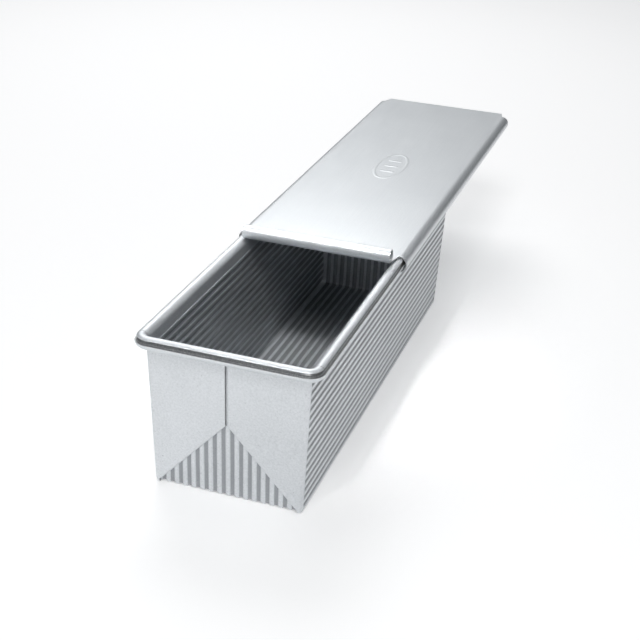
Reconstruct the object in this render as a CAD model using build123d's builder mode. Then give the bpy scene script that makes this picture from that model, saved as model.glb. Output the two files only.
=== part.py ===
from build123d import *
from math import cos, radians, sin, sqrt, tan
import os

# Lidded loaf pan folded from one corrugated sheet, with a wired rim and a sliding lid.
# Millimetres, +Z up. Origin: centre of the base, on the surface the pan rests on.
# X runs across the pan, Y along it (the folded end with the grip of the lid is at -Y).

# ---------------------------------------------------------------- driving dimensions
base_width = 99.2        # outside, across the bottom
base_length = 331.0      # outside, along the bottom, over the folded ears
draft = 0.035            # outward lean of every wall, mm per mm of height
sheet = 0.8              # aluminised steel sheet of pan and lid
bend = 3.0               # outside radius where the floor turns up into the walls
corner_radius = 3.2      # outside radius of the upright corners

rib_pitch = 5.85         # spacing of the pressed ribs
rib_depth = 0.7          # how far a rib stands out
rib_top = 1.4            # flat width of a rib's crest
rib_foot = 3.1           # width of a rib at its foot
rib_margin = 1.3         # plain sheet kept beyond the last rib
first_side_rib = 8.6     # height of the lowest rib of a side wall

rim_height = 102.0       # height of the centre of the rim wire
wire_radius = 3.175      # quarter-inch edge wire
wire_play = 0.225        # clearance between the wire and the sheet rolled round it
roll_gape = 45.0         # degrees left open under the roll, towards the wall
neck_drop = 0.3          # how far below the roll the walls pass into the rim
rim_corner = 2.2         # inside corner radius of the rim opening
rim_break = 0.5          # gap between an end roll and a side roll

slit = 2.0               # gap between the two ears of one end
ear_angle = 47.5         # slope of the folded edge of an ear, degrees from level

lid_gap = 1.1            # running clearance between rim roll and lid curl
lid_wrap = 105.0         # degrees below level to which the curl closes under the rim
curl_reach = 1.4         # how far a closed lid's side curls reach past the rim at each end
lid_front = 4.0          # position of the curls' front ends, with the lid half open
front_tongue = 11.5      # from the curls' front ends to the axis of the grip roll
rear_tongue = 9.3        # from the curls' rear ends to the rear edge
tongue_inset = 2.6       # how much narrower than the curls' axes the tongues end
grip_radius = 4.9        # outside radius of the rolled grip
grip_gape = 40.0         # degrees left open between grip roll and lid

oval_width = 24.6        # pressed oval on the lid, across
oval_length = 62.0       # pressed oval on the lid, along
bead_width = 2.0         # width of the pressed line of the oval
bead_height = 0.4        # how far it stands up
bar_length = 11.0        # plain bars inside the oval
bar_width = 2.4
bar_spacing = 13.0

# ---------------------------------------------------------------- derived sizes
half_width = base_width / 2
half_length = base_length / 2
ear_thick = 2 * sheet
end_face = half_length - ear_thick
bend_inner = bend - sheet
floor_edge = half_width - bend
floor_end = end_face - bend
land = rib_depth

roll_inner = wire_radius + wire_play
roll_radius = roll_inner + sheet
wall_top = rim_height - roll_radius - neck_drop
cut_top = wall_top + 12
cut_wide = half_width + 20
cut_long = half_length + 20
ribs_each_side = int((floor_edge - rib_margin - rib_foot / 2) / rib_pitch)
ribs_up = int((wall_top - rib_margin - rib_foot / 2 - first_side_rib) / rib_pitch)

rim_lean = draft * rim_height
rim_in_x = half_width - sheet + rim_lean
rim_in_y = end_face - sheet + rim_lean
roll_x = rim_in_x + roll_radius
roll_y = rim_in_y + roll_radius
axis_x = rim_in_x - rim_corner
axis_y = rim_in_y - rim_corner

curl_inner = roll_radius + lid_gap
curl_outer = curl_inner + sheet
lid_under = rim_height + curl_inner
curl_length = 2 * (roll_y + roll_radius + curl_reach)
lid_back = lid_front + curl_length
grip_y = lid_front - front_tongue
grip_z = lid_under + grip_radius
tongue_half = roll_x - tongue_inset
lid_middle = (lid_front + lid_back) / 2

os.makedirs("parts", exist_ok=True)


def rib_line(centres, start, end, start_level, end_level):
    """Outline of a ribbed sheet: (distance along, depth below the rib crests)."""
    points = [(start, start_level), (start + 0.6, start_level)]
    if start_level < land:
        points += [(start + rib_margin, land)]
    for c in centres:
        points += [(c - rib_foot / 2, land), (c - rib_top / 2, 0)]
        points += [(c + rib_top / 2, 0), (c + rib_foot / 2, land)]
    if end_level < land:
        points += [(end - rib_margin, land)]
    points += [(end - 0.6, end_level), (end, end_level)]
    return points


def ring_points(cx, cy, radius, from_deg, to_deg):
    """Start, middle and end of an arc."""
    angles = (from_deg, (from_deg + to_deg) / 2, to_deg)
    return [(cx + radius * cos(radians(a)), cy + radius * sin(radians(a))) for a in angles]


def open_ring(cx, cy, outer, inner, from_deg, to_deg):
    """Closed outline of a sheet rolled round a centre, from one angle to another."""
    o = ring_points(cx, cy, outer, from_deg, to_deg)
    i = ring_points(cx, cy, inner, to_deg, from_deg)
    with BuildLine() as outline:
        ThreePointArc(o[0], o[1], o[2])
        Line(o[2], i[0])
        ThreePointArc(i[0], i[1], i[2])
        Line(i[2], o[0])
    return outline.line


def leaning_block(inset_x, inset_y, z0, z1, radius):
    """Solid block with the pan's draft, inset from the outer faces."""
    with BuildPart() as block:
        for z in (z0, z1):
            grow = 2 * draft * z
            with BuildSketch(Plane.XY.offset(z)):
                RectangleRounded(base_width - 2 * inset_x + grow, base_length - 2 * inset_y + grow, radius)
        loft(ruled=True)
    return block.part


def floor_outline():
    """Section of the ribbed floor across the pan, from edge to edge."""
    centres = [rib_pitch * k for k in range(-ribs_each_side, ribs_each_side + 1)]
    lower = rib_line(centres, -floor_edge, floor_edge, 0, 0)
    upper = [(s, d + sheet) for s, d in reversed(lower)]
    return lower + upper


# ---------------------------------------------------------------- floor
with BuildPart() as floor_panel:
    with BuildSketch(Plane.XZ):
        with BuildLine():
            Polyline(*floor_outline(), close=True)
        make_face()
    extrude(amount=floor_end, both=True)
floor_panel.part.label = "floor_panel"

# ---------------------------------------------------------------- side walls
with BuildPart() as right_side_wall:
    side_ribs = [first_side_rib + rib_pitch * k for k in range(ribs_up + 1)]
    with BuildSketch(Plane.XZ):
        with BuildLine():
            outer = [(half_width + draft * z - d, z) for z, d in rib_line(side_ribs, bend, wall_top, 0, 0)]
            inner = [(x - sheet, z) for x, z in reversed(outer)]
            Polyline(*outer)
            Line(outer[-1], inner[0])
            Polyline(*inner)
            RadiusArc(inner[-1], (floor_edge, sheet), bend_inner, short_sagitta=True)
            Line((floor_edge, sheet), (floor_edge, 0))
            RadiusArc((floor_edge, 0), outer[0], -bend, short_sagitta=True)
        make_face()
    extrude(amount=cut_long, both=True)
    with BuildSketch(Plane.YZ):
        half = half_length - corner_radius
        with BuildLine():
            far = half + draft * cut_top
            Polyline((-half, 0), (half, 0), (far, cut_top), (-far, cut_top), close=True)
        make_face()
    extrude(amount=cut_wide, mode=Mode.INTERSECT)
right_side_wall.part.label = "right_side_wall"

with BuildPart() as left_side_wall:
    mirror(right_side_wall.part, about=Plane.YZ)
left_side_wall.part.label = "left_side_wall"

# ---------------------------------------------------------------- end walls
with BuildPart() as front_end_wall:
    with BuildSketch(Plane.XZ.offset(floor_end)):
        with BuildLine():
            Polyline(*floor_outline(), close=True)
        make_face()
    bend_axis = Axis((0, -floor_end, bend), (1, 0, 0))
    revolve(axis=bend_axis, revolution_arc=-90)
    end_ribs = [rib_pitch * k for k in range(-ribs_each_side, ribs_each_side + 1)]
    with BuildSketch(Plane.XY.offset(bend)):
        with BuildLine():
            face_line = rib_line(end_ribs, -half_width - 6, half_width + 6, 0, 0)
            near = [(s, -(end_face - d)) for s, d in face_line]
            far = [(s, y + sheet) for s, y in reversed(near)]
            Polyline(*near, *far, close=True)
        make_face()
    extrude(amount=(wall_top - bend) * sqrt(1 + draft ** 2), dir=(0, -draft, 1))
    add(leaning_block(sheet + land + 0.2, 0, 0, wall_top, 0.5), mode=Mode.INTERSECT)
front_end_wall.part.label = "front_end_wall"

with BuildPart() as rear_end_wall:
    mirror(front_end_wall.part, about=Plane.XZ)
rear_end_wall.part.label = "rear_end_wall"

# ---------------------------------------------------------------- corner folds (ears)
apex = half_width * tan(radians(ear_angle))
with BuildPart() as front_left_corner_fold:
    add(leaning_block(0, 0, 0, wall_top, corner_radius))
    fillet(front_left_corner_fold.edges().group_by(Axis.Z)[0], bend - 0.2)
    add(leaning_block(sheet, ear_thick, sheet, wall_top + 1, 0.8), mode=Mode.SUBTRACT)
    with BuildSketch(Plane.XZ):
        with BuildLine():
            foot = bend * tan(radians(ear_angle))
            Polyline(
                (-cut_wide, 0), (-floor_edge, 0), (-floor_edge, foot), (-slit / 2, apex),
                (-slit / 2, wall_top), (-cut_wide, wall_top), close=True)
        make_face()
    extrude(amount=cut_long, mode=Mode.INTERSECT)
    with BuildSketch(Plane.YZ):
        start = half_length - corner_radius
        with BuildLine():
            Polyline(
                (-start, 0), (-start - draft * cut_top, cut_top),
                (-cut_long, cut_top), (-cut_long, 0), close=True)
        make_face()
    extrude(amount=-cut_wide, mode=Mode.INTERSECT)
front_left_corner_fold.part.label = "front_left_corner_fold"

with BuildPart() as front_right_corner_fold:
    mirror(front_left_corner_fold.part, about=Plane.YZ)
front_right_corner_fold.part.label = "front_right_corner_fold"

with BuildPart() as rear_left_corner_fold:
    mirror(front_left_corner_fold.part, about=Plane.XZ)
rear_left_corner_fold.part.label = "rear_left_corner_fold"

with BuildPart() as rear_right_corner_fold:
    mirror(front_right_corner_fold.part, about=Plane.XZ)
rear_right_corner_fold.part.label = "rear_right_corner_fold"

# ---------------------------------------------------------------- rim rolls and wire
neck_step = draft * (rim_height - wall_top)


def neck_outline(inside):
    """Closed outline of the sheet between a wall's top and its rim roll."""
    low = inside - neck_step
    with BuildLine() as outline:
        Polyline(
            (low, wall_top), (low + sheet, wall_top),
            (inside + sheet, rim_height), (inside, rim_height), close=True)
    return outline.line


def roll_section(centre, inside):
    """Rolled sheet round the wire, with the neck that rises from the wall."""
    add(open_ring(centre, rim_height, roll_radius, roll_inner, roll_gape - 180, 180))
    make_face()
    add(neck_outline(inside))
    make_face()


with BuildPart() as right_rim_roll:
    with BuildSketch(Plane.XZ):
        roll_section(roll_x, rim_in_x)
    extrude(amount=axis_y - rim_break, both=True)
right_rim_roll.part.label = "right_rim_roll"

with BuildPart() as left_rim_roll:
    mirror(right_rim_roll.part, about=Plane.YZ)
left_rim_roll.part.label = "left_rim_roll"

with BuildPart() as rear_rim_roll:
    with BuildSketch(Plane.YZ):
        roll_section(roll_y, rim_in_y)
    extrude(amount=axis_x, both=True)
    with BuildSketch(Plane.YZ.offset(axis_x)):
        roll_section(roll_y, rim_in_y)
    revolve(axis=Axis((axis_x, axis_y, 0), (0, 0, 1)), revolution_arc=-90)
    with BuildSketch(Plane.YZ.offset(-axis_x)):
        roll_section(roll_y, rim_in_y)
    revolve(axis=Axis((-axis_x, axis_y, 0), (0, 0, 1)), revolution_arc=90)
rear_rim_roll.part.label = "rear_rim_roll"

with BuildPart() as front_rim_roll:
    mirror(rear_rim_roll.part, about=Plane.XZ)
front_rim_roll.part.label = "front_rim_roll"

with BuildSketch(Plane.XY.offset(rim_height)) as wire_path:
    RectangleRounded(2 * roll_x, 2 * roll_y, rim_corner + roll_radius)
with BuildPart() as rim_wire:
    with BuildSketch(Plane(origin=(roll_x, 0, rim_height), x_dir=(1, 0, 0), z_dir=(0, 1, 0))):
        Circle(wire_radius)
    sweep(path=wire_path.face().outer_wire())
rim_wire.part.label = "rim_wire"

# ---------------------------------------------------------------- lid
with BuildPart() as lid_panel:
    with BuildSketch(Plane.XY.offset(lid_under)):
        with BuildLine():
            Polyline(
                (-tongue_half, grip_y), (tongue_half, grip_y),
                (roll_x, lid_front), (roll_x, lid_back),
                (tongue_half, lid_back + rear_tongue), (-tongue_half, lid_back + rear_tongue),
                (-roll_x, lid_back), (-roll_x, lid_front), close=True)
        make_face()
    extrude(amount=sheet)
    with BuildSketch(Plane.XY.offset(lid_under + sheet)):
        with Locations((0, lid_middle)):
            Ellipse(oval_width / 2, oval_length / 2)
            Ellipse(oval_width / 2 - bead_width, oval_length / 2 - bead_width, mode=Mode.SUBTRACT)
        with Locations((0, lid_middle)):
            with GridLocations(0, bar_spacing, 1, 3):
                SlotOverall(bar_length, bar_width)
    extrude(amount=bead_height)
    with BuildSketch(Plane.XY.offset(lid_under)):
        with Locations((0, lid_middle)):
            Ellipse(oval_width / 2 - 0.3, oval_length / 2 - 0.3)
            Ellipse(oval_width / 2 - bead_width + 0.3, oval_length / 2 - bead_width + 0.3, mode=Mode.SUBTRACT)
        with Locations((0, lid_middle)):
            with GridLocations(0, bar_spacing, 1, 3):
                SlotOverall(bar_length - 0.6, bar_width - 0.6)
    extrude(amount=bead_height, mode=Mode.SUBTRACT)
lid_panel.part.label = "lid_panel"

with BuildPart() as right_lid_curl:
    with BuildSketch(Plane.XZ.offset(-lid_back)):
        add(open_ring(roll_x, rim_height, curl_outer, curl_inner, 90, -lid_wrap))
        make_face()
    extrude(amount=curl_length)
right_lid_curl.part.label = "right_lid_curl"

with BuildPart() as left_lid_curl:
    mirror(right_lid_curl.part, about=Plane.YZ)
left_lid_curl.part.label = "left_lid_curl"

with BuildPart() as lid_grip_roll:
    with BuildSketch(Plane.YZ):
        add(open_ring(grip_y, grip_z, grip_radius, grip_radius - sheet, -90, -90 - 360 + grip_gape))
        make_face()
    extrude(amount=tongue_half, both=True)
lid_grip_roll.part.label = "lid_grip_roll"

# ---------------------------------------------------------------- export
export_step(floor_panel.part, "parts/floor_panel.step")
export_step(left_side_wall.part, "parts/left_side_wall.step")
export_step(right_side_wall.part, "parts/right_side_wall.step")
export_step(front_end_wall.part, "parts/front_end_wall.step")
export_step(rear_end_wall.part, "parts/rear_end_wall.step")
export_step(front_left_corner_fold.part, "parts/front_left_corner_fold.step")
export_step(front_right_corner_fold.part, "parts/front_right_corner_fold.step")
export_step(rear_left_corner_fold.part, "parts/rear_left_corner_fold.step")
export_step(rear_right_corner_fold.part, "parts/rear_right_corner_fold.step")
export_step(left_rim_roll.part, "parts/left_rim_roll.step")
export_step(right_rim_roll.part, "parts/right_rim_roll.step")
export_step(front_rim_roll.part, "parts/front_rim_roll.step")
export_step(rear_rim_roll.part, "parts/rear_rim_roll.step")
export_step(rim_wire.part, "parts/rim_wire.step")
export_step(lid_panel.part, "parts/lid_panel.step")
export_step(left_lid_curl.part, "parts/left_lid_curl.step")
export_step(right_lid_curl.part, "parts/right_lid_curl.step")
export_step(lid_grip_roll.part, "parts/lid_grip_roll.step")
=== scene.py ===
from math import cos, pi, radians, sin, tan

import bmesh
import bpy
import numpy as np
from mathutils import Matrix, Vector


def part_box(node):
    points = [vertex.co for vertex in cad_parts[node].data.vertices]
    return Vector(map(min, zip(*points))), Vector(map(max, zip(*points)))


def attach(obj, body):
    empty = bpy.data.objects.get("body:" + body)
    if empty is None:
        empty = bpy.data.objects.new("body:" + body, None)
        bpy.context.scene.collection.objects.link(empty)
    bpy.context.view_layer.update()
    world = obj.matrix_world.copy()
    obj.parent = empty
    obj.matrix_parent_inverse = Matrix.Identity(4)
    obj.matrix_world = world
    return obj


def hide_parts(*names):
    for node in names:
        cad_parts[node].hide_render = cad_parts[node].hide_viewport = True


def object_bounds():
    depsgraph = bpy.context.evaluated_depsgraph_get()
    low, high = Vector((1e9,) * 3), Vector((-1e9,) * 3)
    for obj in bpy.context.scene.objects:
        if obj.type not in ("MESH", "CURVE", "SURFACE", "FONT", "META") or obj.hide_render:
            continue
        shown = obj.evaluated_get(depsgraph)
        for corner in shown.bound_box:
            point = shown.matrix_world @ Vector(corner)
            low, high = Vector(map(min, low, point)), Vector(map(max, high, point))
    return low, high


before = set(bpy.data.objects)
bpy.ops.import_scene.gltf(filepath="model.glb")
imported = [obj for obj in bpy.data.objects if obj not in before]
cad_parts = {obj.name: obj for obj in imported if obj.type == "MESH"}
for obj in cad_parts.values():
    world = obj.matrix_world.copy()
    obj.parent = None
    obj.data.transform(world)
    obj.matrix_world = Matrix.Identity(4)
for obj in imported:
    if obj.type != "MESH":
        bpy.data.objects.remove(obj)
cad_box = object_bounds()

# Lidded loaf pan, folded from ribbed aluminised steel, with a wired rim and a sliding lid.
# The object's lengths below are in millimetres and its meshes in metres; the studio is in metres.
MM = 0.001

# ------------------------------------------------------------------ sizes read from the part


def corners(node):
    """Lowest and highest corner of a part's node, in millimetres."""
    low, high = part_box(node)
    return low / MM, high / MM


floor_low, floor_high = corners("floor_panel")
wall_low, wall_high = corners("right_side_wall")
ear_low, ear_high = corners("front_left_corner_fold")
end_roll_low, end_roll_high = corners("front_rim_roll")
side_roll_low, side_roll_high = corners("right_rim_roll")
wire_low, wire_high = corners("rim_wire")
panel_low, panel_high = corners("lid_panel")
curl_low, curl_high = corners("right_lid_curl")
grip_low, grip_high = corners("lid_grip_roll")

sheet = 0.8  # steel sheet of pan and lid
draft = 0.035  # outward lean of every wall
floor_edge = floor_high.x
floor_end = floor_high.y
wall_top = wall_high.z
half_width = wall_high.x - draft * wall_top
half_length = -ear_low.y - draft * wall_top
bend = half_width - floor_edge
corner_radius = 3.2  # outside radius of the upright corners
ear_thick = 2 * sheet
end_face = half_length - ear_thick
ear_angle = radians(47.5)  # slope of the ears' folded edges
ear_apex = half_width * tan(ear_angle)
ear_foot = bend * tan(ear_angle)
slit = -2 * ear_high.x

neck_drop = 0.3  # how far below the roll the walls end
roll_sweep = radians(315)  # how far the edge is rolled round the wire
roll_radius = (end_roll_high.z - wall_top - neck_drop) / 2
rim_height = end_roll_high.z - roll_radius
roll_x = end_roll_high.x - roll_radius
roll_y = -end_roll_low.y - roll_radius
rim_turn = roll_y + end_roll_high.y  # radius of the wire's line round a corner
side_roll_end = side_roll_high.y
wire_radius = (wire_high.z - wire_low.z) / 2

curl_radius = curl_high.x - roll_x
lid_top = rim_height + curl_radius
lid_front = curl_low.y
lid_back = curl_high.y
lid_rear_edge = panel_high.y
lid_middle = (lid_front + lid_back) / 2
tongue_half = grip_high.x
grip_outer = (grip_high.z - grip_low.z) / 2
grip_y = grip_low.y + grip_outer
grip_z = grip_low.z + grip_outer
curl_end = -105  # degrees: where the curls stop under the rim
grip_end = -410  # degrees: where the grip's roll stops above the lid

rib_pitch = 5.85
first_side_rib = 8.6  # height of the lowest rib's crest on a side wall
rib_depth, crest_width, foot_width = 0.7, 1.9, 4.1

# ------------------------------------------------------------------ nodes, colours


def linear(hex_colour):
    """An sRGB hex colour as the linear RGBA that the shaders take."""
    srgb = [int(hex_colour[i:i + 2], 16) / 255 for i in (1, 3, 5)]
    return [c / 12.92 if c <= 0.04045 else ((c + 0.055) / 1.055) ** 2.4 for c in srgb] + [1.0]


def add_node(tree, kind, wires=None, **settings):
    """One node. wires sets or links inputs by name or number; settings are its properties."""
    made = tree.nodes.new(kind)
    for key, value in settings.items():
        setattr(made, key, value)
    for key, value in (wires or {}).items():
        source = value.outputs[0] if isinstance(value, bpy.types.Node) else value
        if isinstance(source, bpy.types.NodeSocket):
            tree.links.new(source, made.inputs[key])
        else:
            made.inputs[key].default_value = source
    return made


def blank_material(name):
    """A material with an empty tree."""
    material = bpy.data.materials.new(name)
    material.use_nodes = True
    material.node_tree.nodes.clear()
    return material, material.node_tree


def two_tones(tree, pattern, low, high, dark, bright):
    """A colour that goes from dark to bright as a pattern goes from low to high."""
    tone = add_node(tree, "ShaderNodeValToRGB", {0: pattern})
    for stop, position, colour in zip(tone.color_ramp.elements, (low, high), (dark, bright)):
        stop.position = position
        stop.color = linear(colour)
    return tone


# ------------------------------------------------------------------ materials
streak_across, streak_along = 0.35, 45  # size of one rolling line, mm
cloud_size = 38  # size of one slow wave in the sheet, mm
frost_height, wave_height = 0.05, 0.25  # mm
smoother, rougher = 0.12, 0.14  # how far the grain moves the roughness each way
# Values of rib_land where the lands' painted shade starts and is full, and how much of it there is.
land_from, land_full, land_shade_amount = 0.38, 0.92, 0.60


def aluminised_steel(name, pale, dull, metallic, roughness, mottle_size, mottle_bump, wave_bump):
    """Steel sheet hot-dipped in aluminium-silicon, rolled and pressed: a pale satin grey with a
    fine frosty mottle from the coating, faint rolling lines and slow waves in the sheet.
    Metallic and roughness are set. So is the darker tone of the lands between the ribs, a painted
    shade which makes the ribs stand out and stands for nothing known about the steel."""
    material, tree = blank_material(name)
    place = add_node(tree, "ShaderNodeTexCoord").outputs["Object"]
    mottle = add_node(tree, "ShaderNodeTexNoise", {
        "Vector": place, "Scale": 1 / (mottle_size * MM), "Detail": 3.0, "Roughness": 0.6})
    stretch = [1 / (size * MM) for size in (streak_across, streak_along, streak_across)]
    along = add_node(tree, "ShaderNodeMapping", {"Vector": place, "Scale": stretch})
    streaks = add_node(tree, "ShaderNodeTexNoise", {"Vector": along, "Scale": 1.0, "Detail": 2.0})
    cloud = add_node(tree, "ShaderNodeTexNoise", {
        "Vector": place, "Scale": 1 / (cloud_size * MM), "Detail": 4.0, "Roughness": 0.55})
    grain = add_node(tree, "ShaderNodeMix", {
        0: 0.35, 2: mottle.outputs[0], 3: streaks.outputs[0]}, data_type="FLOAT")
    patchy = add_node(tree, "ShaderNodeMix", {
        0: 0.15, 2: grain.outputs[0], 3: cloud.outputs[0]}, data_type="FLOAT")
    tone = two_tones(tree, patchy.outputs[0], 0.36, 0.64, dull, pale)
    land = add_node(tree, "ShaderNodeAttribute", attribute_name="rib_land").outputs["Fac"]
    land_shade_mix = add_node(tree, "ShaderNodeMapRange", {
        0: land, 1: land_from, 2: land_full, 3: 0.0, 4: land_shade_amount})
    # Painted shade: rib_land mixes the lands between the ribs towards a dark grey.
    tone = add_node(tree, "ShaderNodeMix", {
        0: land_shade_mix.outputs[0], 6: tone.outputs[0], 7: linear("#5C6066")}, data_type="RGBA")
    satin = add_node(tree, "ShaderNodeMapRange", {
        0: grain.outputs[0], 1: 0.3, 2: 0.7, 3: roughness - smoother, 4: roughness + rougher})
    frost = add_node(tree, "ShaderNodeBump", {
        "Strength": mottle_bump, "Distance": frost_height * MM, "Height": mottle.outputs[0]})
    waves = add_node(tree, "ShaderNodeBump", {
        "Strength": wave_bump, "Distance": wave_height * MM, "Height": cloud.outputs[0],
        "Normal": frost})
    shader = add_node(tree, "ShaderNodeBsdfPrincipled", {
        "Base Color": tone.outputs[2], "Metallic": metallic, "Roughness": satin.outputs[0],
        "Normal": waves})
    add_node(tree, "ShaderNodeOutputMaterial", {0: shader})
    return material


def bare_steel(name, bright, dark, roughness, grain_size):
    """Steel without its coating: cut edges and drawn wire. Darker, with short shear marks."""
    material, tree = blank_material(name)
    place = add_node(tree, "ShaderNodeTexCoord").outputs["Object"]
    marks = add_node(tree, "ShaderNodeTexNoise", {
        "Vector": place, "Scale": 1 / (grain_size * MM), "Detail": 2.0})
    tone = two_tones(tree, marks.outputs[0], 0.3, 0.7, dark, bright)
    bite = add_node(tree, "ShaderNodeBump", {
        "Strength": 0.4, "Distance": 0.04 * MM, "Height": marks.outputs[0]})
    shader = add_node(tree, "ShaderNodeBsdfPrincipled", {
        "Base Color": tone.outputs[0], "Metallic": 1.0, "Roughness": roughness, "Normal": bite})
    add_node(tree, "ShaderNodeOutputMaterial", {0: shader})
    return material


# One steel in three finishes: the rolled edge is the roughest, and the flat lid is
# the most metallic with the finest and faintest mottle.
pan_steel = aluminised_steel(
    "aluminised_steel_pressed", "#E2E5E8", "#CCD0D3", 0.65, 0.38, 1.3, 0.20, 0.05)
rim_steel = aluminised_steel(
    "aluminised_steel_rolled", "#E4E7EA", "#D0D4D7", 0.62, 0.44, 1.1, 0.20, 0.05)
lid_steel = aluminised_steel(
    "aluminised_steel_flat", "#E1E4E6", "#D3D7DA", 0.75, 0.40, 0.9, 0.14, 0.02)
cut_steel = bare_steel("bare_steel_cut_edge", "#D2D3D4", "#9FA1A3", 0.45, 0.5)
wire_steel = bare_steel("drawn_steel_wire", "#B4B5B6", "#8B8D8F", 0.30, 0.8)

# ------------------------------------------------------------------ rules of the sheet


def open_tree(name, sizes):
    """An empty Geometry Nodes tree: geometry in and out, the named sizes and a material."""
    tree = bpy.data.node_groups.new(name, "GeometryNodeTree")
    tree.interface.new_socket("Geometry", in_out="INPUT", socket_type="NodeSocketGeometry")
    for size in sizes:
        tree.interface.new_socket(size, in_out="INPUT", socket_type="NodeSocketFloat")
    tree.interface.new_socket("Material", in_out="INPUT", socket_type="NodeSocketMaterial")
    tree.interface.new_socket("Geometry", in_out="OUTPUT", socket_type="NodeSocketGeometry")
    given = add_node(tree, "NodeGroupInput")
    return tree, given.outputs


def close_tree(tree, geometry, material):
    """Ends a tree in plain geometry with its material."""
    real = add_node(tree, "GeometryNodeRealizeInstances", {"Geometry": geometry})
    painted = add_node(tree, "GeometryNodeSetMaterial", {"Geometry": real, "Material": material})
    add_node(tree, "NodeGroupOutput", {"Geometry": painted})


def pressed_ribs_tree():
    """Presses the lands between evenly spaced ribs into a sheet, along its own normals.
    rib_place is how far across the ribs a point is, rib_share how fully it is pressed there.
    rib_land is left on the sheet for the steel's painted shade on the lands: 0 on a crest, 1 on a
    land."""
    tree, given = open_tree("pressed_ribs", ("Pitch", "Depth", "Crest Width", "Foot Width"))
    place = add_node(tree, "GeometryNodeInputNamedAttribute", {"Name": "rib_place"})
    share = add_node(tree, "GeometryNodeInputNamedAttribute", {"Name": "rib_share"})
    turns = add_node(tree, "ShaderNodeMath", {0: place, 1: given["Pitch"]}, operation="DIVIDE")
    turns = add_node(tree, "ShaderNodeMath", {0: turns, 1: 0.5, 2: -0.5}, operation="WRAP")
    aside = add_node(tree, "ShaderNodeMath", {0: turns}, operation="ABSOLUTE")
    aside = add_node(tree, "ShaderNodeMath", {0: aside, 1: given["Pitch"]}, operation="MULTIPLY")
    crest = add_node(tree, "ShaderNodeMath", {0: given["Crest Width"], 1: 0.5}, operation="MULTIPLY")
    foot = add_node(tree, "ShaderNodeMath", {0: given["Foot Width"], 1: 0.5}, operation="MULTIPLY")
    flank = add_node(tree, "ShaderNodeMapRange", {
        "Value": aside, "From Min": crest, "From Max": foot, "To Min": 0.0, "To Max": 1.0},
        interpolation_type="SMOOTHSTEP")
    land = add_node(tree, "ShaderNodeMath", {0: flank, 1: share}, operation="MULTIPLY")
    press = add_node(tree, "ShaderNodeMath", {0: land, 1: given["Depth"]}, operation="MULTIPLY")
    press = add_node(tree, "ShaderNodeMath", {0: press, 1: -1.0}, operation="MULTIPLY")
    facing = add_node(tree, "GeometryNodeInputNormal")
    move = add_node(tree, "ShaderNodeVectorMath", {0: facing, "Scale": press}, operation="SCALE")
    marked = add_node(tree, "GeometryNodeStoreNamedAttribute", {
        "Geometry": given["Geometry"], "Name": "rib_land", "Value": land},
        data_type="FLOAT", domain="POINT")
    ribbed = add_node(tree, "GeometryNodeSetPosition", {"Geometry": marked, "Offset": move})
    close_tree(tree, ribbed, given["Material"])
    return tree


def rolled_edge_tree():
    """Rolls a sheet round a line of edges: an arc swept along it, from one angle round."""
    tree, given = open_tree("rolled_edge", ("Radius", "From Angle", "Sweep Angle"))
    line = add_node(tree, "GeometryNodeMeshToCurve", {"Mesh": given["Geometry"]})
    upright = add_node(tree, "GeometryNodeSetCurveNormal", {"Curve": line}, mode="Z_UP")
    arc = add_node(tree, "GeometryNodeCurveArc", {
        "Resolution": 40, "Radius": given["Radius"], "Start Angle": given["From Angle"],
        "Sweep Angle": given["Sweep Angle"]}, mode="RADIUS")
    rolled = add_node(tree, "GeometryNodeCurveToMesh", {"Curve": upright, "Profile Curve": arc})
    close_tree(tree, rolled, given["Material"])
    return tree


def apply_tree(shape, tree, sizes, material):
    """Runs a tree on an object and keeps the result as its plain mesh."""
    modifier = shape.modifiers.new(tree.name, "NODES")
    modifier.node_group = tree
    wanted = dict(sizes, Material=material)
    for item in tree.interface.items_tree:
        if item.in_out == "INPUT" and item.name in wanted:
            modifier[item.identifier] = wanted[item.name]
    bpy.context.view_layer.update()
    seen = shape.evaluated_get(bpy.context.evaluated_depsgraph_get())
    plain = bpy.data.meshes.new_from_object(seen)
    shape.modifiers.remove(modifier)
    shape.data = plain


# ------------------------------------------------------------------ sheets from grids of points
weld_size = 2e-6  # points closer than this, in metres, are one point
crease_angle = radians(38)  # faces that meet more sharply than this keep a sharp edge
# A sheet's edge from its outer face to its inner: how far through it and how far out beyond it,
# both as shares of the thickness.
square_edge = [(0.14, 0.088), (0.28, 0.11), (0.42, 0.11), (0.58, 0.11), (0.72, 0.11), (0.86, 0.088)]
folded_edge = [(0.5 - 0.5 * cos(pi * k / 7), 0.5 * sin(pi * k / 7)) for k in range(1, 7)]


def joined_grids(name, grids, facing, attributes=None):
    """One open surface from grids of points (rows, columns, xyz in mm) that share edges.
    facing is a direction in which the outermost point looks outwards."""
    points, faces, values = [], [], {k: [] for k in (attributes or {})}
    start = 0
    for number, grid in enumerate(grids):
        rows, columns = grid.shape[:2]
        points.append(grid.reshape(-1, 3) * MM)
        for key in values:
            values[key].append(np.asarray(attributes[key][number], float).reshape(-1))
        index = start + np.arange(rows * columns).reshape(rows, columns)
        quads = np.stack([index[:-1, :-1], index[1:, :-1], index[1:, 1:], index[:-1, 1:]], -1)
        faces.extend(quads.reshape(-1, 4).tolist())
        start += rows * columns
    points = np.concatenate(points)
    keys = np.round(points / weld_size).astype(np.int64)
    _, first, same = np.unique(keys, axis=0, return_index=True, return_inverse=True)
    same = same.reshape(-1)
    kept = [[int(same[i]) for i in face] for face in faces]
    mesh = bpy.data.meshes.new(name)
    mesh.from_pydata(points[first].tolist(), [], kept)
    for key, columns_of in values.items():
        layer = mesh.attributes.new(key, "FLOAT", "POINT")
        layer.data.foreach_set("value", np.concatenate(columns_of)[first].astype(np.float32))
    shape = bpy.data.objects.new(name, mesh)
    bpy.context.scene.collection.objects.link(shape)
    turn_outwards(mesh, facing)
    return shape


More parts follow.
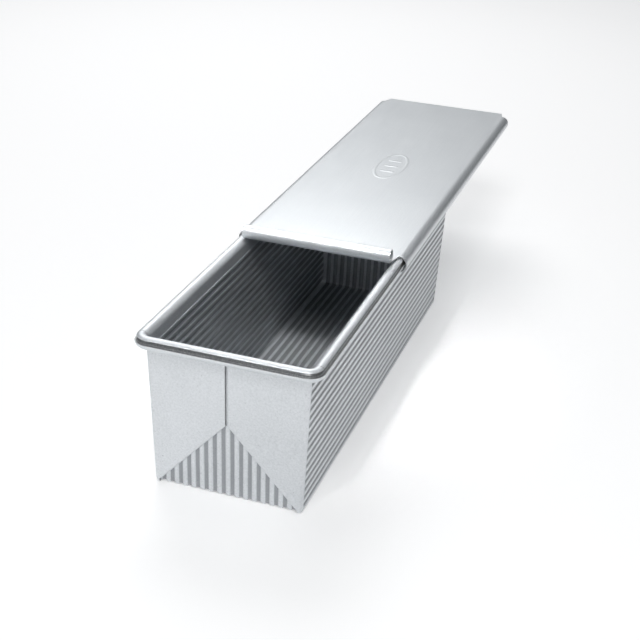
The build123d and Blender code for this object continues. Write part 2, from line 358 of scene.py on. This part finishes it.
def turn_outwards(mesh, facing):
    """All faces of an open surface one way, with its outermost point looking along facing."""
    shell = bmesh.new()
    shell.from_mesh(mesh)
    bmesh.ops.recalc_face_normals(shell, faces=shell.faces)
    shell.normal_update()
    way = Vector(facing)
    outermost = max(shell.verts, key=lambda v: v.co.dot(way))
    if outermost.normal.dot(way) < 0:
        bmesh.ops.reverse_faces(shell, faces=shell.faces)
    shell.to_mesh(mesh)
    shell.free()


def open_edges(faces):
    """The edges that only one face uses, in that face's direction."""
    used = {}
    for face in faces:
        for edge in zip(face, face[1:] + face[:1]):
            used[edge] = True
    return [(a, b) for a, b in used if (b, a) not in used]


def read_vectors(collection, field, kind=np.float64):
    """A mesh's vectors as an array of rows."""
    values = np.zeros(len(collection) * 3, kind)
    collection.foreach_get(field, values)
    return values.reshape(-1, 3).astype(float)


def give_thickness(shape, is_fold=lambda point: False, thick_at=lambda point: sheet):
    """Turns an open outer surface into a sheet of real thickness, with its edges closed.
    Edges are sheared square with a slight round; those that is_fold picks are folded round."""
    mesh = shape.data
    count = len(mesh.vertices)
    outer = read_vectors(mesh.vertices, "co")
    normal = read_vectors(mesh.vertex_normals, "vector", np.float32)
    depth = np.array([thick_at(point / MM) * MM for point in outer])
    inner = outer - normal * depth[:, None]
    faces = [list(p.vertices) for p in mesh.polygons]
    rim = open_edges(faces)
    outwards = np.zeros((count, 3))
    for a, b in rim:
        side = np.cross(outer[b] - outer[a], normal[a] + normal[b])
        side /= np.linalg.norm(side) + 1e-12
        outwards[a] += side
        outwards[b] += side

    points = [*outer.tolist(), *inner.tolist()]
    closed = faces + [[count + v for v in reversed(face)] for face in faces]
    strips = {}
    for v in sorted({v for edge in rim for v in edge}):
        side = outwards[v] / (np.linalg.norm(outwards[v]) + 1e-12)
        strips[v] = [v]
        for share, swell in folded_edge if is_fold(outer[v] / MM) else square_edge:
            strips[v].append(len(points))
            points.append((outer[v] - normal[v] * share * depth[v] + side * swell * depth[v]).tolist())
        strips[v].append(count + v)
    materials = [0] * len(closed)
    for a, b in rim:
        sheared = 0 if is_fold(outer[a] / MM) and is_fold(outer[b] / MM) else 1
        for k in range(len(strips[a]) - 1):
            closed.append([strips[b][k], strips[a][k], strips[a][k + 1], strips[b][k + 1]])
            materials.append(sheared)

    solid = bpy.data.meshes.new(shape.name)
    solid.from_pydata(points, [], closed)
    solid.polygons.foreach_set("material_index", materials)
    if "rib_land" in mesh.attributes:
        land = np.zeros(count, np.float32)
        mesh.attributes["rib_land"].data.foreach_get("value", land)
        edge_land = np.zeros(len(points) - 2 * count, np.float32)
        layer = solid.attributes.new("rib_land", "FLOAT", "POINT")
        layer.data.foreach_set("value", np.concatenate([land, land, edge_land]))
    solid.materials.append(mesh.materials[0])
    solid.materials.append(cut_steel)
    solid.update()
    shape.data = solid


def finish_piece(shape, body, nodes):
    """Smooth shading with real creases, then the frame's calls."""
    mesh = shape.data
    mesh.polygons.foreach_set("use_smooth", np.ones(len(mesh.polygons), bool))
    mesh.set_sharp_from_angle(angle=crease_angle)
    mesh.name = shape.name
    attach(shape, body)
    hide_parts(*nodes)


# ------------------------------------------------------------------ pan: floor, walls, ribs
rib_step = rib_pitch / 20  # one rib is drawn with twenty rows of faces
rib_fade = 3.0  # the end walls' ribs run out over this height under the rim


def even(start, end, step):
    """Evenly spaced values from start to end, at most a step apart."""
    return np.linspace(start, end, max(2, int(np.ceil(abs(end - start) / step)) + 1))


last_wall_rib = first_side_rib + rib_pitch * np.floor((wall_top - first_side_rib) / rib_pitch)
across = even(-floor_edge, floor_edge, rib_step)
wall_rows = np.concatenate([even(bend, last_wall_rib, rib_step), [wall_top, rim_height]])
wall_rows[-2] = max(wall_rows[-2], wall_rows[-3] + 0.5)
turn = np.radians(np.linspace(-90, 0, 9))
lengthwise = np.linspace(-floor_end, floor_end, 15)

# Line of the floor and end walls in (along, up), from the front rim down, along and up again.
end_rows = np.concatenate([
    np.linspace(rim_height, wall_top - 3, 4), np.linspace(wall_top - 8, bend + 4, 8)])
front_up = [(-end_face - draft * z, z) for z in end_rows]
front_bend = [
    (-floor_end - bend * cos(a) - draft * bend * (1 + sin(a)), bend + bend * sin(a))
    for a in turn[::-1]]
line = front_up + front_bend + [(y, 0.0) for y in lengthwise[1:-1]]
line += [(-y, z) for y, z in reversed(front_bend)] + [(-y, z) for y, z in reversed(front_up)]
line = np.array(line)
cradle = np.zeros((len(line), len(across), 3))
cradle[:, :, 0] = across[None, :]
cradle[:, :, 1] = line[:, :1]
cradle[:, :, 2] = line[:, 1:]
cradle_share = np.clip((wall_top - cradle[:, :, 2]) / rib_fade, 0, 1)
cradle_place = cradle[:, :, 0] * MM

# The side walls, from the floor's edge round the bend and up to the rim.
side_x = np.concatenate([floor_edge + bend * np.cos(turn), np.full(len(wall_rows) - 1, half_width)])
side_z = np.concatenate([bend + bend * np.sin(turn), wall_rows[1:]])
side_x = side_x + draft * side_z
side_x[0] = floor_edge
side_z[0] = 0.0
reach = half_length - corner_radius + draft * side_z
reach[:len(turn)] = np.linspace(floor_end, reach[len(turn) - 1], len(turn))
right_side = np.zeros((len(lengthwise), len(side_x), 3))
right_side[:, :, 0] = side_x[None, :]
right_side[:, :, 1] = (lengthwise / floor_end)[:, None] * reach[None, :]
right_side[:, :, 2] = side_z[None, :]
ribbed_rows = (side_z >= bend - 0.01) & (side_z <= last_wall_rib + 0.01)
side_share = np.ones_like(right_side[:, :, 0]) * ribbed_rows
side_place = (right_side[:, :, 2] - first_side_rib) * MM
left_side = right_side * (-1, 1, 1)

# The end walls' plain margins, which pass behind the ears to the side walls.
margins, margin_shares, margin_places = [], [], []
upright = line[:, 1] >= bend - 0.01
for rows in (line[upright & (line[:, 0] < 0)], line[upright & (line[:, 0] > 0)]):
    for side in (1, -1):
        patch = np.zeros((len(rows), 5, 3))
        reach_x = half_width + draft * rows[:, 1] - sheet * 0.6
        patch[:, :, 0] = side * (floor_edge + (reach_x[:, None] - floor_edge) * np.linspace(0, 1, 5))
        patch[:, :, 1] = rows[:, :1]
        patch[:, :, 2] = rows[:, 1:]
        margins.append(patch)
        margin_shares.append(np.zeros(patch.shape[:2]))
        margin_places.append(patch[:, :, 0] * MM)

pan_sheet = joined_grids(
    "ribbed_pan_sheet", [cradle, right_side, left_side, *margins], (0, 0, -1),
    {"rib_place": [cradle_place, side_place, side_place, *margin_places],
     "rib_share": [cradle_share, side_share, side_share, *margin_shares]})
apply_tree(pan_sheet, pressed_ribs_tree(), {
    "Pitch": rib_pitch * MM, "Depth": rib_depth * MM,
    "Crest Width": crest_width * MM, "Foot Width": foot_width * MM}, pan_steel)
give_thickness(pan_sheet)
finish_piece(pan_sheet, "pan",
             ["floor_panel", "left_side_wall", "right_side_wall", "front_end_wall", "rear_end_wall"])

# ------------------------------------------------------------------ pan: folded ears
# Where an ear's rows and columns lie, as shares of its height and width, closest together at
# the folded edge and at the slit.
ear_rows = np.concatenate([[0, 0.012, 0.025, 0.04, 0.055, 0.075, 0.1], np.linspace(0.16, 1, 15)])
ear_columns = np.concatenate([np.linspace(0, 0.02, 3), np.linspace(0.06, 1, 24)])
hem_place, hem_width, hem_depth = 2.3, 0.55, 0.16  # the pressed line beside the folded edge
heel = 2.8  # how far the corner is tucked in at its foot


def fold_height(x):
    """Height of an ear's folded edge at a distance from the middle of the end."""
    return ear_apex + (ear_foot - ear_apex) * (x - slit / 2) / (floor_edge - slit / 2)


def ear_grids(side, end):
    """The outer sheet of one ear: the flat flap on the end, and its turn round the corner."""
    flap = np.zeros((len(ear_columns), len(ear_rows), 3))
    for c, share in enumerate(ear_columns):
        low = ear_apex
        for _ in range(30):
            low = fold_height(slit / 2 + share * (half_width - corner_radius + draft * low - slit / 2))
        z = low + ear_rows * (wall_top + 2 - low)
        flap[c, :, 0] = slit / 2 + share * (half_width - corner_radius + draft * z - slit / 2)
        flap[c, :, 1] = half_length + draft * z
        flap[c, :, 2] = z
        away = (z - low) * cos(ear_angle)
        flap[c, :, 1] -= hem_depth * np.exp(-((away - hem_place) / hem_width) ** 2)
    corner_turn = np.radians(np.linspace(90, 0, 9))
    tuck = np.radians(np.linspace(-90, 0, 7))
    low_rows = [(heel - heel * cos(a), heel + heel * sin(a)) for a in tuck]
    rows = low_rows + [(0.0, z) for z in flap[-1, :, 2]]
    post = np.zeros((len(corner_turn), len(rows), 3))
    for c, a in enumerate(corner_turn):
        for r, (inset, z) in enumerate(rows):
            radius = corner_radius - inset
            post[c, r] = (half_width - corner_radius + draft * z + radius * cos(a),
                          half_length - corner_radius + draft * z + radius * sin(a), z)
    post[0, len(low_rows):] = flap[-1]
    way = (side, end, 1)
    return [flap * way, post * way]


def ear_depth(point):
    """Two sheets on the end, one where it turns the corner."""
    return ear_thick if abs(point[0]) < half_width - corner_radius + draft * point[2] - 0.3 else sheet


def on_ear_fold(point):
    """True on the slanting folded edge of an ear."""
    x, z = abs(point[0]), point[2]
    return x < floor_edge + 0.5 and abs(z - fold_height(x)) < 0.3


for end_name, end in (("front", -1), ("rear", 1)):
    for side_name, side in (("left", -1), ("right", 1)):
        ear = joined_grids(f"{end_name}_{side_name}_folded_ear", ear_grids(side, end), (0, end, 0))
        ear.data.materials.append(pan_steel)
        give_thickness(ear, on_ear_fold, ear_depth)
        finish_piece(ear, "pan", [f"{end_name}_{side_name}_corner_fold"])

# ------------------------------------------------------------------ pan: rolled rim and wire
roll = rolled_edge_tree()


def rim_line(kind, end=1, side=1):
    """The wire's centre line along one edge of the rim, in mm."""
    if kind == "side":
        return [(side * roll_x, y, rim_height) for y in np.linspace(-side_roll_end, side_roll_end, 9)]
    corner_turn = np.radians(np.linspace(0, 90, 13))
    centre_x, centre_y = roll_x - rim_turn, roll_y - rim_turn
    right = [(centre_x + rim_turn * cos(a), centre_y + rim_turn * sin(a)) for a in corner_turn]
    straight = [(x, roll_y) for x in np.linspace(centre_x, -centre_x, 8)[1:-1]]
    left = [(-x, y) for x, y in reversed(right)]
    return [(x, end * y, rim_height) for x, y in right + straight + left]


def edges_object(name, points, ring=False):
    """A line of edges as an object, for a tree to sweep along."""
    mesh = bpy.data.meshes.new(name)
    edges = [(k, k + 1) for k in range(len(points) - 1)]
    if ring:
        edges.append((len(points) - 1, 0))
    mesh.from_pydata([tuple(c * MM for c in p) for p in points], edges, [])
    shape = bpy.data.objects.new(name, mesh)
    bpy.context.scene.collection.objects.link(shape)
    return shape


def rolled_rim(name, points, turned, node):
    """One rolled edge: the sheet goes up the inside, over the wire and back under it.
    turned is for a line that has the inside of the pan on its right."""
    shape = edges_object(name, points)
    start, sweep = (pi, -roll_sweep) if turned else (0.0, roll_sweep)
    apply_tree(shape, roll, {
        "Radius": roll_radius * MM, "From Angle": start, "Sweep Angle": sweep}, rim_steel)
    turn_outwards(shape.data, (0, 0, 1))
    give_thickness(shape)
    finish_piece(shape, "pan", [node])


rolled_rim("right_rolled_rim", rim_line("side", side=1), False, "right_rim_roll")
rolled_rim("left_rolled_rim", rim_line("side", side=-1), True, "left_rim_roll")
rolled_rim("front_rolled_rim", rim_line("end", end=-1), True, "front_rim_roll")
rolled_rim("rear_rolled_rim", rim_line("end", end=1), False, "rear_rim_roll")

wire_line = rim_line("end", end=1)
wire_line += [(x, -y, z) for x, y, z in reversed(wire_line)]
wire = edges_object("steel_rim_wire", wire_line, ring=True)
apply_tree(wire, roll, {
    "Radius": wire_radius * MM, "From Angle": 0.0, "Sweep Angle": 2 * pi}, wire_steel)
wire_shell = bmesh.new()
wire_shell.from_mesh(wire.data)
bmesh.ops.remove_doubles(wire_shell, verts=wire_shell.verts, dist=1e-6)
bmesh.ops.recalc_face_normals(wire_shell, faces=wire_shell.faces)
wire_shell.to_mesh(wire.data)
wire_shell.free()
finish_piece(wire, "pan", ["rim_wire"])

# ------------------------------------------------------------------ lid
oval_half_width, oval_half_length = 12.3, 31.0
bead_width, bead_height = 2.0, 0.15
bar_half, bar_width, bar_spacing = 4.3, 2.4, 13.0
fine_x, fine_y, fine_step = 14, 34, 0.45  # half width and length of the finer faces round it

lid_columns = np.unique(np.concatenate([
    even(0, fine_x, fine_step), np.linspace(fine_x, tongue_half - 4, 9), [roll_x]]))
lid_columns = np.concatenate([-lid_columns[:0:-1], lid_columns])
fine_from, fine_to = lid_middle - fine_y, lid_middle + fine_y
lid_rows = np.unique(np.round(np.concatenate([
    np.linspace(grip_y, lid_front, 5), np.linspace(lid_front, fine_from, 16),
    even(fine_from, fine_to, fine_step), np.linspace(fine_to, lid_back, 16),
    np.linspace(lid_back, lid_rear_edge, 4)]), 5))


def tongue_width(y):
    """Half width of the panel: full between the curls' ends, drawn in on the tongues."""
    reach_front = (lid_front - y) / (lid_front - grip_y)
    reach_rear = (y - lid_back) / (lid_rear_edge - lid_back)
    drawn = max(0.0, reach_front, reach_rear)
    return roll_x + (tongue_half - roll_x) * drawn


def smooth(share):
    """Eases a share from 0 to 1 in and out."""
    return share * share * (3 - 2 * share)


def pressed_mark(x, y):
    """Height of the plain oval mark: a raised bead round three short bars."""
    dx, dy = np.abs(x), y - lid_middle
    a, b = oval_half_width - bead_width / 2, oval_half_length - bead_width / 2
    level = (dx / a) ** 2 + (dy / b) ** 2
    slope = 2 * np.sqrt((dx / a ** 2) ** 2 + (dy / b ** 2) ** 2) + 1e-9
    away = np.abs(level - 1) / slope
    bead = np.clip(1 - away / (bead_width / 2 + 0.3), 0, 1)
    near_bar = dy - bar_spacing * np.clip(np.round(dy / bar_spacing), -1, 1)
    from_bar = np.hypot(np.maximum(dx - bar_half, 0), near_bar)
    bar = np.clip((bar_width / 2 + 0.25 - from_bar) / 0.7, 0, 1)
    return bead_height * np.maximum(smooth(np.clip(1.6 * bead, 0, 1)), smooth(bar))


panel = np.zeros((len(lid_rows), len(lid_columns), 3))
scale = np.array([tongue_width(y) for y in lid_rows]) / roll_x
panel[:, :, 0] = lid_columns[None, :] * scale[:, None]
panel[:, :, 1] = lid_rows[:, None]
panel[:, :, 2] = lid_top + pressed_mark(panel[:, :, 0], panel[:, :, 1])

curl_turn = np.radians(np.linspace(90, curl_end, 29))
curl_rows = lid_rows[(lid_rows >= lid_front - 1e-4) & (lid_rows <= lid_back + 1e-4)]
right_curl = np.zeros((len(curl_rows), len(curl_turn), 3))
right_curl[:, :, 0] = roll_x + curl_radius * np.cos(curl_turn)
right_curl[:, :, 1] = curl_rows[:, None]
right_curl[:, :, 2] = rim_height + curl_radius * np.sin(curl_turn)
right_curl[:, 0, 0] = roll_x
right_curl[:, 0, 2] = lid_top
left_curl = right_curl * (-1, 1, 1)

# These surfaces follow the panel's top face, which in the grip is the inside of the roll.
grip_turn = np.radians(np.linspace(-90, grip_end, 45))
grip_inner = grip_outer - sheet
grip = np.zeros((len(grip_turn), len(lid_columns), 3))
grip[:, :, 0] = panel[0, :, 0]
grip[:, :, 1] = (grip_y + grip_inner * np.cos(grip_turn))[:, None]
grip[:, :, 2] = (grip_z + grip_inner * np.sin(grip_turn))[:, None]
grip[0] = panel[0]

lid_sheet = joined_grids("sliding_lid_sheet", [panel, right_curl, left_curl, grip], (0, 0, -1))
lid_sheet.data.materials.append(lid_steel)
give_thickness(lid_sheet)
finish_piece(lid_sheet, "lid",
             ["lid_panel", "left_lid_curl", "right_lid_curl", "lid_grip_roll"])

# ------------------------------------------------------------------ floor, light, camera
floor_reach = 6.0
floor_drop = 5e-5  # below the pan's base, so that the two faces don't meet
card_glow = 0.28  # light the white card gives off itself


def stage_card(name, points, material):
    """One flat card of the studio, from its corners in metres."""
    mesh = bpy.data.meshes.new(name)
    mesh.from_pydata(points, [], [(0, 1, 2, 3)])
    mesh.materials.append(material)
    card = bpy.data.objects.new(name, mesh)
    bpy.context.scene.collection.objects.link(card)
    return card


# Matt white card with a fine grain. Its own light keeps it near white round the pan.
white_card, tree = blank_material("matt_white_card")
place = add_node(tree, "ShaderNodeTexCoord").outputs["Object"]
card_grain = add_node(tree, "ShaderNodeTexNoise", {"Vector": place, "Scale": 900.0})
card_bump = add_node(tree, "ShaderNodeBump", {
    "Strength": 0.05, "Distance": 0.1 * MM, "Height": card_grain.outputs[0]})
shader = add_node(tree, "ShaderNodeBsdfPrincipled", {
    "Base Color": linear("#F4F4F4"), "Roughness": 0.9, "Normal": card_bump,
    "Emission Color": linear("#FFFFFF"), "Emission Strength": card_glow})
add_node(tree, "ShaderNodeOutputMaterial", {0: shader})
stage_card("studio_floor", [
    (x * floor_reach, y * floor_reach, -floor_drop) for x, y in ((-1, -1), (1, -1), (1, 1), (-1, 1))],
    white_card)

world = bpy.data.worlds.new("studio_air")
world.use_nodes = True
bpy.context.scene.world = world
air = world.node_tree.nodes["Background"]
air.inputs["Color"].default_value = linear("#D8DBDF")
air.inputs["Strength"].default_value = 0.30


def soft_light(name, spot, aim, width, height, watts):
    """A rectangular soft box at spot, turned towards aim, in metres."""
    lamp = bpy.data.lights.new(name, "AREA")
    lamp.shape = "RECTANGLE"
    lamp.size, lamp.size_y = width, height
    lamp.energy = watts
    holder = bpy.data.objects.new(name, lamp)
    holder.location = spot
    holder.rotation_euler = (Vector(aim) - Vector(spot)).to_track_quat("-Z", "Y").to_euler()
    bpy.context.scene.collection.objects.link(holder)
    return lamp


# Dark grey cards round the pan. They are hidden from the camera, from diffuse light and from
# shadows, so only the steel's reflections see them.
flag_cloth, tree = blank_material("black_flag_cloth")
shader = add_node(tree, "ShaderNodeBsdfPrincipled", {
    "Base Color": linear("#3A3D41"), "Roughness": 0.95})
add_node(tree, "ShaderNodeOutputMaterial", {0: shader})
for name, (x0, y0), (x1, y1), top in (
        ("left_flag", (-0.9, -0.6), (-0.9, 1.2), 0.45),
        ("right_flag", (0.9, -0.5), (0.9, 1.4), 0.40),
        ("rear_flag", (-0.9, 1.35), (0.9, 1.35), 0.32)):
    flag = stage_card(name, [(x0, y0, 0), (x1, y1, 0), (x1, y1, top), (x0, y0, top)], flag_cloth)
    for sight in ("visible_camera", "visible_diffuse", "visible_shadow", "visible_transmission"):
        setattr(flag, sight, False)

middle = (cad_box[0] + cad_box[1]) / 2
soft_light("rear_high_softbox", (-0.60, 1.10, 1.40), middle, 0.9, 0.9, 10.5)
soft_light("rear_softbox", (-0.35, 1.50, 1.00), middle, 1.2, 0.8, 1.2)
soft_light("top_softbox", (-0.2, 0.0, 1.70), middle, 0.8, 0.8, 2.0)
soft_light("front_softbox", (0.20, -0.85, 1.15), middle, 0.45, 0.45, 8.0)
# This one is small and narrow, to light the floor inside the pan.
inside = soft_light("gridded_softbox", (-0.03, -0.45, 0.75), (0.0, 0.02, 0.0), 0.10, 0.10, 0.09)
inside.spread = radians(20)

heading, downward, roll_angle = radians(17.776), radians(26.475), radians(2.686)
camera_data = bpy.data.cameras.new("camera")
camera_data.sensor_width = 36.0
camera_data.lens = 71.34
camera_data.clip_start, camera_data.clip_end = 0.01, 50
camera = bpy.data.objects.new("camera", camera_data)
camera.location = (0.2525, -0.7790, 0.4573)
camera.rotation_mode = "QUATERNION"
camera.rotation_quaternion = (
    Matrix.Rotation(heading, 3, "Z") @ Matrix.Rotation(pi / 2 - downward, 3, "X")
    @ Matrix.Rotation(roll_angle, 3, "Z")).to_quaternion()
bpy.context.scene.collection.objects.link(camera)
bpy.context.scene.camera = camera
bpy.context.scene.view_settings.view_transform = "Standard"
